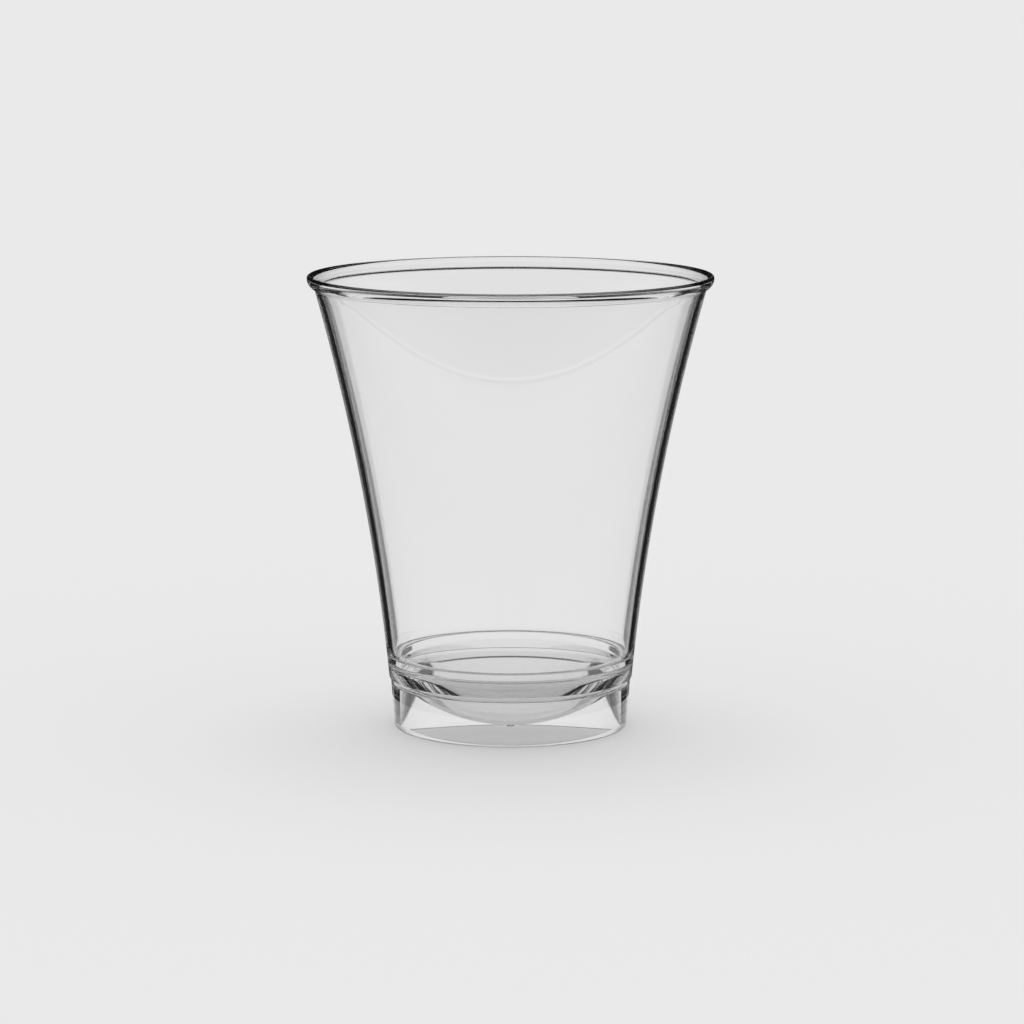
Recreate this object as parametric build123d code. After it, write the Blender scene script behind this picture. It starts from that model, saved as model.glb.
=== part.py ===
from build123d import *
import math
import os

# Clear drinking cup, moulded in one piece, standing on a hollow foot.
# Millimetres, +Z up, origin at the centre of the foot on the table.
# The whole cup is one section turned about the Z axis.

os.makedirs("parts", exist_ok=True)

# Overall size
rim_diameter = 84.0
cup_height = 94.4
foot_diameter = 48.6

# Trumpet wall
wall_thickness = 1.2
wall_bow_radius = 470.0

# Flared lip
lip_depth = 2.8
lip_reach = 1.55
lip_edge_radius = 0.6
lip_flare_depth = 2.1

# Foot skirt, which is drafted inside and out, and the step above it
foot_height = 10.3
foot_draft = 4.2
foot_edge_thickness = 1.1
hollow_draft = 6.4
band_step = 0.3

# Stacking ledge, where the foot of the next cup lands
ledge_height = 15.3
ledge_land = 0.3

# Bowl-shaped floor, thicker where it joins the wall than in the middle
floor_rim_drop = 1.7
bowl_depth = 9.85
floor_middle_thickness = 1.25
hollow_wall_height = 9.9

# Stub left by the moulding gate under the middle of the floor
gate_diameter = 1.6
gate_height = 0.4

# Number of flats that stand for a round face
lip_flat_count = 2
floor_flat_count = 4


def radius_on_bow(bow_centre, bow_radius, height):
    """Radius of the cup at a height on an arc whose centre lies outside the cup."""
    rise = height - bow_centre.Y
    return bow_centre.X - math.sqrt(bow_radius**2 - rise**2)


def radius_at_drop(start_radius, drop, draft):
    """Radius reached by a face that closes in by a draft angle over a height."""
    return start_radius - drop * math.tan(math.radians(draft))


def bowl_radius(rim_radius, depth):
    """Radius of the sphere that sinks by a depth between its rim and the axis."""
    return (rim_radius**2 + depth**2) / (2 * depth)


def in_flats(arc, count):
    """An arc as a chain of equal chords, which turn into cones."""
    return Polyline(*[arc @ (step / count) for step in range(count + 1)])


# Outside of the foot, from the table up to the band that overhangs it
foot_radius = foot_diameter / 2
foot_top_radius = radius_at_drop(foot_radius, -foot_height, foot_draft)
foot_outer_corner = (foot_radius, 0)
foot_top = (foot_top_radius, foot_height)
band_corner = (foot_top_radius + band_step, foot_height)

# Outside of the wall, one long arc that bows towards the axis
rim_radius = rim_diameter / 2
lip_root = (rim_radius - lip_reach, cup_height - lip_depth)
outer_wall = RadiusArc(band_corner, lip_root, wall_bow_radius)
bow_centre = outer_wall.arc_center

# Lip: a rounded underside, a round edge and a flare down into the cup
lip_side = (rim_radius, cup_height - lip_edge_radius)
lip_top = (rim_radius - lip_edge_radius, cup_height)
lip_underside = TangentArc(lip_side, lip_root, tangent=(0, -1))
lip_edge = RadiusArc(lip_side, lip_top, -lip_edge_radius)

# Inside of the wall, parallel to the outside
inner_bow_radius = wall_bow_radius + wall_thickness
flare_height = cup_height - lip_flare_depth
flare_foot = (radius_on_bow(bow_centre, inner_bow_radius, flare_height), flare_height)
ledge_outer = (radius_on_bow(bow_centre, inner_bow_radius, ledge_height), ledge_height)
inner_wall = RadiusArc(ledge_outer, flare_foot, inner_bow_radius)

# Ledge as wide as the foot's own edge, and the floor's upper face inside it
foot_inner_radius = foot_radius - foot_edge_thickness
ledge_inner_radius = foot_inner_radius - ledge_land
floor_rim_height = ledge_height - floor_rim_drop
floor_top_height = floor_rim_height - bowl_depth
ledge_inner = (ledge_inner_radius, ledge_height)
floor_rim = (ledge_inner_radius, floor_rim_height)
floor_top = (0, floor_top_height)
upper_floor = RadiusArc(floor_rim, floor_top, bowl_radius(ledge_inner_radius, bowl_depth))

# Hollow of the foot: the floor's lower face and the drafted inside of the skirt
hollow_radius = radius_at_drop(foot_inner_radius, hollow_wall_height, hollow_draft)
hollow_corner = (hollow_radius, hollow_wall_height)
floor_bottom_height = floor_top_height - floor_middle_thickness
floor_bottom = (0, floor_bottom_height)
hollow_rise = hollow_wall_height - floor_bottom_height
lower_floor = RadiusArc(floor_bottom, hollow_corner, -bowl_radius(hollow_radius, hollow_rise))
foot_inner_corner = (foot_inner_radius, 0)

outline = Curve() + [
    Line(foot_outer_corner, foot_top),
    Line(foot_top, band_corner),
    outer_wall,
    in_flats(lip_underside, lip_flat_count),
    in_flats(lip_edge, lip_flat_count),
    Line(lip_top, flare_foot),
    inner_wall,
    Line(ledge_outer, ledge_inner),
    Line(ledge_inner, floor_rim),
    in_flats(upper_floor, floor_flat_count),
    Line(floor_top, floor_bottom),
    in_flats(lower_floor, floor_flat_count),
    Line(hollow_corner, foot_inner_corner),
    Line(foot_inner_corner, foot_outer_corner),
]
section = make_face(outline)
cup = revolve(Plane.XZ * section, Axis.Z)

# The stub starts inside the floor, so that it meets the bowl all round
gate_length = gate_height + floor_middle_thickness / 2
gate_place = Location((0, 0, floor_bottom_height - gate_height))
upwards = (Align.CENTER, Align.CENTER, Align.MIN)
gate_stub = gate_place * Cylinder(gate_diameter / 2, gate_length, align=upwards)
cup = cup + gate_stub

export_step(cup, "parts/cup.step")
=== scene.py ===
import logging
import math
from dataclasses import dataclass, field
from enum import Enum

import bmesh
import bpy
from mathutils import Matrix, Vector


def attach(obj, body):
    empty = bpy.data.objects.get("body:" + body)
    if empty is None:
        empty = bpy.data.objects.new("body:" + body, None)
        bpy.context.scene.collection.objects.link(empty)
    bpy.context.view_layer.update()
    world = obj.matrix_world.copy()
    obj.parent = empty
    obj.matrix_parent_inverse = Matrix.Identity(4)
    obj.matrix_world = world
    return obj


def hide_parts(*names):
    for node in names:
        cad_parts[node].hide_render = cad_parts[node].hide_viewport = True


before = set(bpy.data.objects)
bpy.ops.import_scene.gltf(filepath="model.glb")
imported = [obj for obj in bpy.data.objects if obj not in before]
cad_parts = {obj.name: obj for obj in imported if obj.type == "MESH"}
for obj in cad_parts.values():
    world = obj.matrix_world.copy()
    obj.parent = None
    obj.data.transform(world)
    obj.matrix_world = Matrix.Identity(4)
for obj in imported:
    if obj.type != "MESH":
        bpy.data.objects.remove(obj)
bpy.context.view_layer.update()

# The cup's sizes are millimetres, as in the part's source, and become metres when a mesh takes
# them. The camera, the floor, the finishes and MERGE_DISTANCE are in metres. Bearings are degrees
# clockwise from +Y, seen from above.

METRES_PER_MM = 0.001
PHOTO_PIXELS = 1024
MERGE_DISTANCE = 1e-6

Point = tuple[float, float]

log = logging.getLogger("clear_cup")


class CentreSide(Enum):
    """The side of the way from an arc's start to its end on which its centre lies."""

    RIGHT = 1.0
    LEFT = -1.0


class Signal:
    """A shader socket on which sums are written as Python expressions."""

    def __init__(self, graph: "ShaderGraph", socket: bpy.types.NodeSocket) -> None:
        """Keeps the socket and the graph that holds it."""
        self.graph = graph
        self.socket = socket

    def _sum(self, operation: str, *values: "Signal | float") -> "Signal":
        """Adds a Math node.

        Args:
            operation: The Math node's operation.
            values: Its values, in order.

        Returns:
            The node's result.
        """
        inputs = {index: value for index, value in enumerate(values)}
        made = self.graph.node("ShaderNodeMath", {"operation": operation}, inputs)
        return Signal(self.graph, made.outputs[0])

    def __add__(self, other: "Signal | float") -> "Signal":
        """The sum."""
        return self._sum("ADD", self, other)

    def __radd__(self, other: float) -> "Signal":
        """The sum, with the number first."""
        return self._sum("ADD", other, self)

    def __sub__(self, other: "Signal | float") -> "Signal":
        """The difference."""
        return self._sum("SUBTRACT", self, other)

    def __rsub__(self, other: float) -> "Signal":
        """A number less this signal."""
        return self._sum("SUBTRACT", other, self)

    def __mul__(self, other: "Signal | float") -> "Signal":
        """The product."""
        return self._sum("MULTIPLY", self, other)

    def __rmul__(self, other: float) -> "Signal":
        """The product, with the number first."""
        return self._sum("MULTIPLY", other, self)

    def __abs__(self) -> "Signal":
        """The size without its sign."""
        return self._sum("ABSOLUTE", self)

    def above(self, limit: float) -> "Signal":
        """One where the signal is over a limit, and nothing elsewhere."""
        return self._sum("GREATER_THAN", self, limit)

    def larger(self, other: "Signal | float") -> "Signal":
        """The larger of two signals."""
        return self._sum("MAXIMUM", self, other)

    def blended(self, other: "Signal | float", share: "Signal") -> "Signal":
        """This signal, passing to another by a share of it from 0 to 1."""
        return self + (other - self) * share

    def arcsine(self) -> "Signal":
        """The angle whose sine this is, in radians."""
        return self._sum("ARCSINE", self)

    def bearing(self, forward: "Signal") -> "Signal":
        """The angle from the forward part of a direction to this part of it, in radians."""
        return self._sum("ARCTAN2", self, forward)

    def ramp(self, low: float, high: float) -> "Signal":
        """A smooth step.

        Args:
            low: Where the step begins, at 0.
            high: Where it ends, at 1. It may be below low.

        Returns:
            The step as a signal from 0 to 1.
        """
        settings = {"interpolation_type": "SMOOTHSTEP"}
        rising = high > low
        inputs = {
            "Value": self,
            "From Min": min(low, high),
            "From Max": max(low, high),
            "To Min": 0.0 if rising else 1.0,
            "To Max": 1.0 if rising else 0.0,
        }
        made = self.graph.node("ShaderNodeMapRange", settings, inputs)
        return Signal(self.graph, made.outputs[0])


class ShaderGraph:
    """The nodes of one material or world."""

    def __init__(self, tree: bpy.types.NodeTree) -> None:
        """Empties the tree, so that every node in it is one that this file adds."""
        self.tree = tree
        tree.nodes.clear()

    def node(
        self,
        kind: str,
        settings: dict[str, object] | None = None,
        inputs: dict[str | int, object] | None = None,
    ) -> bpy.types.Node:
        """Adds one node.

        Args:
            kind: The node's type.
            settings: Its own settings, which are set first.
            inputs: The value or the link of each socket, by its name or number.

        Returns:
            The new node.
        """
        made = self.tree.nodes.new(kind)
        for name, value in (settings or {}).items():
            setattr(made, name, value)
        for name, value in (inputs or {}).items():
            self._feed(made.inputs[name], value)
        return made

    def signal(self, node: bpy.types.Node, output: str | int = 0) -> Signal:
        """One output of a node, as a signal."""
        return Signal(self, node.outputs[output])

    def _feed(self, socket: bpy.types.NodeSocket, value: object) -> None:
        """Links a socket to a signal or a node's output, or sets its own value."""
        if isinstance(value, Signal):
            self.tree.links.new(value.socket, socket)
        elif isinstance(value, bpy.types.NodeSocket):
            self.tree.links.new(value, socket)
        else:
            socket.default_value = value


@dataclass(frozen=True)
class ClearPlastic:
    """Clear polystyrene with a polished mould finish, scuffed where the foot is set down.

    The plastic takes up a little light along its depth, so a long way through it looks darker.
    A shadow ray or a diffuse ray goes straight through, a little dimmed, because the light that
    the wall gathers would reach the floor only as noise.
    """

    refraction: float = 1.59
    shade: float = 0.84
    tint: float = 0.5
    tint_density: float = 16.0
    flow_size: float = 55.0
    flow_stretch: float = 0.3
    flow_detail: float = 1.0
    flow_roughness: float = 0.4
    flow_depth: float = 0.00001
    scuff_roughness: float = 0.22
    scuff_height: float = 0.0012
    scuff_size: float = 900.0
    scuff_detail: float = 3.0
    scuff_cut: tuple[float, float] = (0.45, 0.7)
    speck_spacing: float = 90.0
    speck_share: float = 0.012
    speck_edge: tuple[float, float] = (0.055, 0.04)

    def material(self) -> bpy.types.Material:
        """Makes the material.

        Returns:
            The finished material.
        """
        made = bpy.data.materials.new("clear_plastic")
        made.use_nodes = True
        graph = ShaderGraph(made.node_tree)
        place = graph.node("ShaderNodeTexCoord").outputs["Object"]
        body = graph.node(
            "ShaderNodeBsdfPrincipled",
            inputs={
                "Base Color": (1.0, 1.0, 1.0, 1.0),
                "IOR": self.refraction,
                "Transmission Weight": 1.0,
                "Roughness": self._scuffs(graph, place),
                "Normal": self._flow(graph, place),
            },
        )
        shade = (self.shade, self.shade, self.shade, 1.0)
        clear = graph.node("ShaderNodeBsdfTransparent", inputs={"Color": shade})
        path = graph.node("ShaderNodeLightPath")
        passing = graph.signal(path, "Is Shadow Ray").larger(graph.signal(path, "Is Diffuse Ray"))
        surface = graph.node(
            "ShaderNodeMixShader",
            inputs={0: passing, 1: body.outputs[0], 2: clear.outputs[0]},
        )
        tint = (self.tint, self.tint, self.tint, 1.0)
        depth = graph.node(
            "ShaderNodeVolumeAbsorption", inputs={"Color": tint, "Density": self.tint_density}
        )
        graph.node(
            "ShaderNodeOutputMaterial",
            inputs={"Surface": surface.outputs[0], "Volume": depth.outputs[0]},
        )
        return made

    def _flow(self, graph: ShaderGraph, place: bpy.types.NodeSocket) -> bpy.types.NodeSocket:
        """The faint waves that the plastic keeps from filling its mould.

        Args:
            graph: The material's nodes.
            place: The place on the cup, in metres.

        Returns:
            The waved normal.
        """
        stretch = graph.node(
            "ShaderNodeMapping", inputs={"Vector": place, "Scale": (1.0, 1.0, self.flow_stretch)}
        )
        waves = graph.node(
            "ShaderNodeTexNoise",
            inputs={
                "Vector": stretch.outputs[0],
                "Scale": self.flow_size,
                "Detail": self.flow_detail,
                "Roughness": self.flow_roughness,
            },
        )
        bump = graph.node(
            "ShaderNodeBump",
            inputs={
                "Strength": 1.0,
                "Distance": self.flow_depth,
                "Height": waves.outputs[0],
            },
        )
        return bump.outputs[0]

    def _scuffs(self, graph: ShaderGraph, place: bpy.types.NodeSocket) -> Signal:
        """Fine scuffs on the edge of the foot, and a few specks of dust higher up.

        Args:
            graph: The material's nodes.
            place: The place on the cup, in metres.

        Returns:
            The roughness.
        """
        parts = graph.node("ShaderNodeSeparateXYZ", inputs={0: place})
        low = graph.signal(parts, "Z").ramp(self.scuff_height, 0.0)
        grain = graph.node(
            "ShaderNodeTexNoise",
            inputs={"Vector": place, "Scale": self.scuff_size, "Detail": self.scuff_detail},
        )
        worn = low * graph.signal(grain).ramp(*self.scuff_cut)
        cells = graph.node(
            "ShaderNodeTexVoronoi",
            inputs={"Vector": place, "Scale": self.speck_spacing, "Randomness": 1.0},
        )
        tint = graph.node("ShaderNodeSeparateXYZ", inputs={0: cells.outputs["Color"]})
        chosen = graph.signal(tint, "X").ramp(self.speck_share, 0.0).above(0.5)
        dot = graph.signal(cells, "Distance").ramp(*self.speck_edge)
        return worn.larger(chosen * dot) * self.scuff_roughness


@dataclass(frozen=True)
class PaleMatt:
    """The matt pale paper that the cup stands on."""

    level: float = 0.8227

    def material(self) -> bpy.types.Material:
        """Makes the material.

        Returns:
            The finished material.
        """
        made = bpy.data.materials.new("pale_paper")
        made.use_nodes = True
        graph = ShaderGraph(made.node_tree)
        body = graph.node(
            "ShaderNodeBsdfPrincipled",
            inputs={
                "Base Color": (self.level, self.level, self.level, 1.0),
                "Roughness": 1.0,
                "Specular IOR Level": 0.0,
            },
        )
        graph.node("ShaderNodeOutputMaterial", inputs={"Surface": body.outputs[0]})
        return made


class SectionPen:
    """Draws the outline of a turned body and spins it round the Z axis."""

    def __init__(self, start: Point) -> None:
        """Puts the pen down at a point of the section."""
        self.mesh = bmesh.new()
        self.tip = self.mesh.verts.new(self._metres(start))
        self.rounds: list[tuple[bmesh.types.BMVert, float, int]] = []

    @staticmethod
    def _metres(point: Point) -> Vector:
        """A point of the section, in metres."""
        return Vector((point[0], 0.0, point[1])) * METRES_PER_MM

    def line_to(self, end: Point, runs: int = 1) -> None:
        """Draws a straight line.

        Args:
            end: Where the line ends.
            runs: The number of equal runs that it is drawn in.
        """
        step = (self._metres(end) - self.tip.co) / runs
        for _ in range(runs):
            made = bmesh.ops.extrude_vert_indiv(self.mesh, verts=[self.tip])
            self.tip = made["verts"][0]
            bmesh.ops.translate(self.mesh, verts=[self.tip], vec=step)

    def arc_to(self, end: Point, radius: float, side: CentreSide, runs: int) -> None:
        """Draws an arc.

        Args:
            end: Where the arc ends.
            radius: Its radius.
            side: The side on which its centre lies.
            runs: The number of runs that it is drawn in.
        """
        start = self.tip.co.copy()
        chord = self._metres(end) - start
        height = math.sqrt(max((radius * METRES_PER_MM) ** 2 - chord.length_squared / 4, 0.0))
        across = Vector((chord.z, 0.0, -chord.x)).normalized() * side.value
        centre = start + chord / 2 + across * height
        half = math.asin(min(chord.length / (2 * radius * METRES_PER_MM), 1.0))
        made = bmesh.ops.spin(
            self.mesh,
            geom=[self.tip],
            cent=centre,
            axis=(0.0, 1.0, 0.0),
            dvec=(0.0, 0.0, 0.0),
            angle=2 * half * side.value,
            steps=runs,
            use_merge=False,
            use_duplicate=False,
        )
        last = [item for item in made["geom_last"] if isinstance(item, bmesh.types.BMVert)]
        self.tip = last[0]

    def round_here(self, reach: float, runs: int) -> None:
        """Marks the corner at the pen, to be rounded when the outline is whole.

        Args:
            reach: How far the round reaches along both lines.
            runs: The number of runs in the round.
        """
        self.rounds.append((self.tip, reach * METRES_PER_MM, runs))

    def turned(self, name: str, steps: int) -> bpy.types.Object:
        """Rounds the marked corners and spins the outline.

        Args:
            name: The object's name.
            steps: The number of steps round the axis.

        Returns:
            The turned object, in the scene and at the origin.
        """
        for corner, reach, runs in self.rounds:
            bmesh.ops.bevel(
                self.mesh,
                geom=[corner],
                offset=reach,
                offset_type="OFFSET",
                segments=runs,
                profile=0.5,
                affect="VERTICES",
                material=-1,
                clamp_overlap=True,
            )
        outline = list(self.mesh.verts) + list(self.mesh.edges)
        bmesh.ops.spin(
            self.mesh,
            geom=outline,
            cent=(0.0, 0.0, 0.0),
            axis=(0.0, 0.0, 1.0),
            dvec=(0.0, 0.0, 0.0),
            angle=2 * math.pi,
            steps=steps,
            use_merge=True,
            use_duplicate=False,
        )
        bmesh.ops.remove_doubles(self.mesh, verts=self.mesh.verts, dist=MERGE_DISTANCE)
        bmesh.ops.recalc_face_normals(self.mesh, faces=self.mesh.faces)
        for face in self.mesh.faces:
            face.smooth = True
        data = bpy.data.meshes.new(name)
        self.mesh.to_mesh(data)
        self.mesh.free()
        made = bpy.data.objects.new(name, data)
        bpy.context.scene.collection.objects.link(made)
        return made


@dataclass(frozen=True)
class Wall:
    """The trumpet wall: two parallel arcs that bow towards the axis."""

    thickness: float = 1.2
    bow_radius: float = 470.0
    runs: int = 44

    def bow_centre(self, low: Point, high: Point) -> Point:
        """The centre of the outer face's arc.

        Args:
            low: Where the outer face starts, above the foot.
            high: Where it ends, under the lip.

        Returns:
            The centre, which lies outside the cup.
        """
        run, rise = high[0] - low[0], high[1] - low[1]
        chord = math.hypot(run, rise)
        height = math.sqrt(self.bow_radius**2 - chord**2 / 4)
        middle = ((low[0] + high[0]) / 2, (low[1] + high[1]) / 2)
        return (middle[0] + rise / chord * height, middle[1] - run / chord * height)

    def inner_radius(self, centre: Point, height: float) -> float:
        """The radius of the inner face at a height.

        Args:
            centre: The centre of both arcs.
            height: The height above the table.

        Returns:
            The distance from the axis.
        """
        reach = self.bow_radius + self.thickness
        return centre[0] - math.sqrt(reach**2 - (height - centre[1]) ** 2)


@dataclass(frozen=True)
class Lip:
    """The flared lip: a curved underside, a round edge and a flare down into the cup."""

    rim_radius: float = 42.0
    top: float = 94.4
    depth: float = 2.8
    reach: float = 1.55
    edge_radius: float = 0.6
    flare_depth: float = 2.1
    root_round: float = 0.28
    crease_round: float = 0.1
    crest_round: float = 0.12

    @property
    def root(self) -> Point:
        """Where the underside meets the outer face of the wall."""
        return (self.rim_radius - self.reach, self.top - self.depth)

    @property
    def side(self) -> Point:
        """The widest point of the cup."""
        return (self.rim_radius, self.top - self.edge_radius)

    @property
    def crest(self) -> Point:
        """The highest point of the cup."""
        return (self.rim_radius - self.edge_radius, self.top)

    @property
    def under_radius(self) -> float:
        """The radius of the underside, which is upright where it meets the edge."""
        run = self.side[0] - self.root[0]
        rise = self.side[1] - self.root[1]
        return (run**2 + rise**2) / (2 * run)


@dataclass(frozen=True)
class Foot:
    """The drafted skirt that the cup stands on, with the step of the wall above it."""

    radius: float = 24.3
    height: float = 10.3
    draft: float = 4.2
    edge_thickness: float = 1.1
    hollow_draft: float = 6.4
    hollow_height: float = 9.9
    step: float = 0.3
    edge_round: float = 0.22
    step_round: float = 0.14
    hollow_round: float = 0.9

    @property
    def top(self) -> Point:
        """Where the skirt's outer face ends, under the step."""
        return (self.radius + self.height * math.tan(math.radians(self.draft)), self.height)

    @property
    def band_corner(self) -> Point:
        """The outer corner of the step, where the wall starts."""
        return (self.top[0] + self.step, self.height)

    @property
    def inner_radius(self) -> float:
        """The radius of the hollow at the table."""
        return self.radius - self.edge_thickness

    @property
    def hollow_corner(self) -> Point:
        """Where the hollow's side meets the floor's lower face."""
        drawn_in = self.hollow_height * math.tan(math.radians(self.hollow_draft))
        return (self.inner_radius - drawn_in, self.hollow_height)


@dataclass(frozen=True)
class Floor:
    """The stacking ledge, and the bowl-shaped floor inside it."""

    ledge_height: float = 15.3
    ledge_land: float = 0.3
    rim_drop: float = 1.7
    bowl_depth: float = 9.85
    middle_thickness: float = 1.25
    gate_radius: float = 0.8
    gate_height: float = 0.4
    gate_round: float = 0.1
    ledge_round: float = 0.35
    runs: int = 26

    @property
    def rim_height(self) -> float:
        """The height of the bowl's rim."""
        return self.ledge_height - self.rim_drop

    @property
    def top_height(self) -> float:
        """The height of the upper face at the axis."""
        return self.rim_height - self.bowl_depth

    @property
    def bottom_height(self) -> float:
        """The height of the lower face at the axis."""
        return self.top_height - self.middle_thickness

    @staticmethod
    def bowl_radius(rim_radius: float, depth: float) -> float:
        """The radius of the sphere that sinks by a depth between its rim and the axis."""
        return (rim_radius**2 + depth**2) / (2 * depth)


@dataclass(frozen=True)
class MouldedCup:
    """The cup, one moulding: its whole section turned about the Z axis."""

    wall: Wall = field(default_factory=Wall)
    lip: Lip = field(default_factory=Lip)
    foot: Foot = field(default_factory=Foot)
    floor: Floor = field(default_factory=Floor)
    finish: ClearPlastic = field(default_factory=ClearPlastic)
    name: str = "cup_moulding"
    steps: int = 240

    def build(self) -> bpy.types.Object:
        """Builds the cup in its finish and puts it in place of the plain solid.

        Returns:
            The cup.
        """
        centre = self.wall.bow_centre(self.foot.band_corner, self.lip.root)
        pen = SectionPen((0.0, self.floor.top_height))
        self._draw_inside(pen, centre)
        self._draw_lip(pen)
        self._draw_outside(pen)
        self._draw_hollow(pen)
        made = pen.turned(self.name, self.steps)
        made.data.materials.append(self.finish.material())
        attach(made, "root")
        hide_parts("cup")
        return made

    def _draw_inside(self, pen: SectionPen, centre: Point) -> None:
        """Draws the bowl of the floor, the ledge and the inner face of the wall.

        Args:
            pen: The pen, on the axis.
            centre: The centre of the wall's arcs.
        """
        floor, wall = self.floor, self.wall
        ledge_inner = self.foot.inner_radius - floor.ledge_land
        bowl = floor.bowl_radius(ledge_inner, floor.bowl_depth)
        pen.arc_to((ledge_inner, floor.rim_height), bowl, CentreSide.LEFT, floor.runs)
        pen.round_here(floor.ledge_round, 5)
        pen.line_to((ledge_inner, floor.ledge_height))
        pen.round_here(floor.ledge_round, 5)
        ledge_outer = (wall.inner_radius(centre, floor.ledge_height), floor.ledge_height)
        pen.line_to(ledge_outer)
        pen.round_here(floor.ledge_round, 5)
        flare = self.lip.top - self.lip.flare_depth
        reach = wall.bow_radius + wall.thickness
        flare_foot = (wall.inner_radius(centre, flare), flare)
        pen.arc_to(flare_foot, reach, CentreSide.RIGHT, wall.runs)
        pen.round_here(self.lip.crease_round, 3)

    def _draw_lip(self, pen: SectionPen) -> None:
        """Draws the flare, the round edge and the underside.

        Args:
            pen: The pen, at the foot of the flare.
        """
        lip = self.lip
        pen.line_to(lip.crest, 4)
        pen.round_here(lip.crest_round, 4)
        pen.arc_to(lip.side, lip.edge_radius, CentreSide.RIGHT, 10)
        pen.arc_to(lip.root, lip.under_radius, CentreSide.RIGHT, 12)
        pen.round_here(lip.root_round, 5)

    def _draw_outside(self, pen: SectionPen) -> None:
        """Draws the outer face of the wall, the step and the foot.

        Args:
            pen: The pen, under the lip.
        """
        foot, wall = self.foot, self.wall
        pen.arc_to(foot.band_corner, wall.bow_radius, CentreSide.LEFT, wall.runs)
        pen.round_here(foot.step_round, 4)
        pen.line_to(foot.top)
        pen.line_to((foot.radius, 0.0), 8)
        pen.round_here(foot.edge_round, 4)

    def _draw_hollow(self, pen: SectionPen) -> None:
        """Draws the hollow of the foot, the floor's lower face and the stub of the gate.

        Args:
            pen: The pen, at the outer edge of the foot.
        """
        foot, floor = self.foot, self.floor
        pen.line_to((foot.inner_radius, 0.0))
        pen.round_here(foot.edge_round, 4)
        pen.line_to(foot.hollow_corner, 8)
        pen.round_here(foot.hollow_round, 6)
        rise = foot.hollow_height - floor.bottom_height
        under = floor.bowl_radius(foot.hollow_corner[0], rise)
        sag = under - math.sqrt(under**2 - floor.gate_radius**2)
        gate_root = (floor.gate_radius, floor.bottom_height + sag)
        gate_bottom = floor.bottom_height - floor.gate_height
        pen.arc_to(gate_root, under, CentreSide.RIGHT, floor.runs)
        pen.line_to((floor.gate_radius, gate_bottom))
        pen.round_here(floor.gate_round, 3)
        pen.line_to((0.0, gate_bottom))


@dataclass(frozen=True)
class PhotoCamera:
    """The camera at the photograph's place, level with the upper part of the cup."""

    place: tuple[float, float, float] = (0.0003, -0.801, 0.1705)
    tilt: float = 8.92
    focal_pixels: float = 3895.0
    sensor: float = 36.0
    nearest: float = 0.01
    farthest: float = 100.0

    def build(self) -> bpy.types.Object:
        """Puts the camera in the scene and makes it the scene's own.

        Returns:
            The camera.
        """
        data = bpy.data.cameras.new("photo_camera")
        data.sensor_width = self.sensor
        data.lens = self.focal_pixels / PHOTO_PIXELS * self.sensor
        data.clip_start = self.nearest
        data.clip_end = self.farthest
        made = bpy.data.objects.new("photo_camera", data)
        made.location = self.place
        made.rotation_euler = (math.radians(90.0 - self.tilt), 0.0, 0.0)
        bpy.context.scene.collection.objects.link(made)
        bpy.context.scene.camera = made
        return made


@dataclass(frozen=True)
class StudioFloor:
    """The pale floor. The cup mirrors and bends only the near part of it."""

    near_radius: float = 0.04
    far_radius: float = 30.0
    sides: int = 160
    finish: PaleMatt = field(default_factory=PaleMatt)

    def build(self) -> list[bpy.types.Object]:
        """Lays both parts of the floor.

        Returns:
            The near disc and the far ring.
        """
        material = self.finish.material()
        near = self._lay("floor_near", (self.near_radius,), material)
        far = self._lay("floor_far", (self.near_radius, self.far_radius), material)
        far.visible_transmission = False
        far.visible_glossy = False
        return [near, far]

    def _lay(
        self, name: str, radii: tuple[float, ...], material: bpy.types.Material
    ) -> bpy.types.Object:
        """Lays a disc, or the ring between two circles.

        Args:
            name: The object's name.
            radii: One radius, or the inner and the outer one.
            material: The floor's material.

        Returns:
            The flat piece, which faces upwards.
        """
        mesh = bmesh.new()
        for radius in radii:
            bmesh.ops.create_circle(
                mesh, cap_ends=len(radii) == 1, segments=self.sides, radius=radius
            )
        if len(radii) == 2:
            bmesh.ops.bridge_loops(mesh, edges=mesh.edges)
        for face in mesh.faces:
            face.normal_update()
        down = [face for face in mesh.faces if face.normal.z < 0]
        bmesh.ops.reverse_faces(mesh, faces=down)
        data = bpy.data.meshes.new(name)
        mesh.to_mesh(data)
        mesh.free()
        data.materials.append(material)
        made = bpy.data.objects.new(name, data)
        bpy.context.scene.collection.objects.link(made)
        return made


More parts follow.
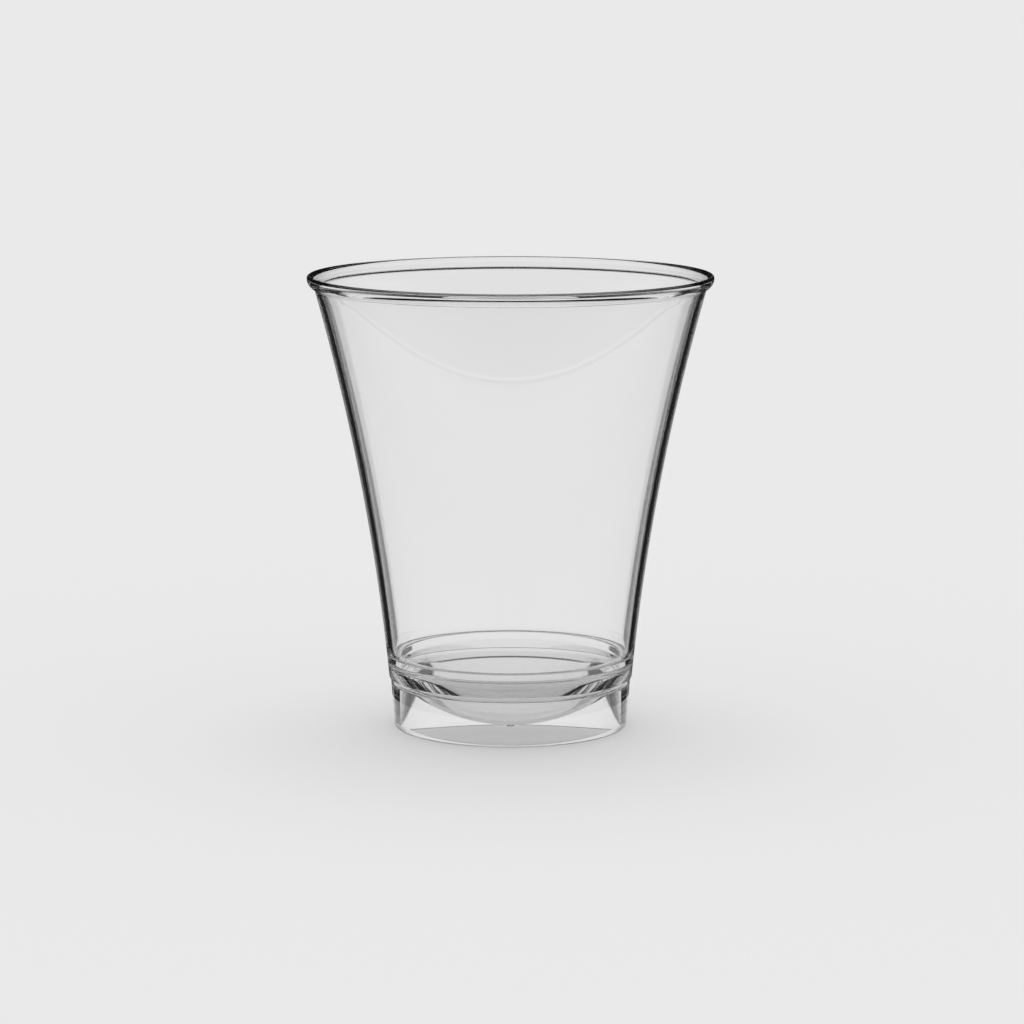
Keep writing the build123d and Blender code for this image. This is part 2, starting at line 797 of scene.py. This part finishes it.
@dataclass(frozen=True)
class StudioLight:
    """The light all round: an even dome for the floor, and the surroundings that plastic shows.

    Matt surfaces see the dome alone, and the camera sees the pale backdrop. Clear plastic shows
    the pale backdrop too, with a dark flag on each side of it and a dark ceiling and ground, and
    these draw its edges where it bends the light. What it mirrors is the dark studio.
    """

    backdrop: float = 0.8227
    dome: float = 0.62
    screen: float = 0.84
    flag: float = 0.01
    flag_inner: tuple[float, float] = (10.0, 11.5)
    flag_outer: tuple[float, float] = (33.5, 36.0)
    mirrored: float = 0.02
    ceiling: float = 0.02
    ceiling_heights: tuple[float, float] = (15.0, 25.0)
    ground: float = 0.02
    ground_heights: tuple[float, float] = (-45.0, -60.0)
    bounces: int = 32

    def build(self) -> bpy.types.World:
        """Makes the world and sets how often light may pass a face.

        Returns:
            The world.
        """
        scene = bpy.context.scene
        scene.view_settings.view_transform = "Standard"
        scene.cycles.max_bounces = self.bounces
        scene.cycles.transmission_bounces = self.bounces
        scene.cycles.glossy_bounces = self.bounces
        made = bpy.data.worlds.new("studio")
        scene.world = made
        made.use_nodes = True
        graph = ShaderGraph(made.node_tree)
        place = graph.node("ShaderNodeTexCoord").outputs["Generated"]
        parts = graph.node("ShaderNodeSeparateXYZ", inputs={0: place})
        across, ahead, up = (graph.signal(parts, axis) for axis in "XYZ")
        turn = abs(across.bearing(ahead)) * (180.0 / math.pi)
        height = up.arcsine() * (180.0 / math.pi)
        flags = turn.ramp(*self.flag_inner) - turn.ramp(*self.flag_outer)
        through = (self.flag - self.screen) * flags + self.screen
        through = through.blended(self.ceiling, height.ramp(*self.ceiling_heights))
        through = through.blended(self.ground, height.ramp(*self.ground_heights))
        path = graph.node("ShaderNodeLightPath")
        level = graph.signal(path, "Is Glossy Ray") * (self.mirrored - self.dome) + self.dome
        level = level.blended(through, graph.signal(path, "Is Transmission Ray"))
        level = level.blended(self.backdrop, graph.signal(path, "Is Camera Ray"))
        colour = graph.node("ShaderNodeCombineColor", inputs={0: level, 1: level, 2: level})
        light = graph.node("ShaderNodeBackground", inputs={"Color": colour.outputs[0]})
        graph.node("ShaderNodeOutputWorld", inputs={"Surface": light.outputs[0]})
        return made


@dataclass(frozen=True)
class KeyLamp:
    """The broad lamp above and a little behind the cup, which lays its soft shadow."""

    strength: float = 1.25
    width: float = 48.0
    tilt: float = 18.0

    def build(self) -> bpy.types.Object:
        """Hangs the lamp.

        Returns:
            The lamp.
        """
        data = bpy.data.lights.new("key_lamp", "SUN")
        data.energy = self.strength
        data.angle = math.radians(self.width)
        made = bpy.data.objects.new("key_lamp", data)
        made.rotation_euler = (math.radians(-self.tilt), 0.0, 0.0)
        made.visible_glossy = False
        made.visible_transmission = False
        bpy.context.scene.collection.objects.link(made)
        return made


def main() -> None:
    """Builds the studio, the camera and the cup in order, and reports each piece."""
    logging.basicConfig(level=logging.INFO, format="%(name)s: %(message)s")
    StudioLight().build()
    for piece in StudioFloor().build():
        log.info("laid %s with %d faces", piece.name, len(piece.data.polygons))
    for piece in (KeyLamp().build(), PhotoCamera().build()):
        log.info("set up %s", piece.name)
    cup = MouldedCup().build()
    cup.data.calc_loop_triangles()
    log.info("built %s with %d triangles", cup.name, len(cup.data.loop_triangles))


if __name__ == "__main__":
    main()
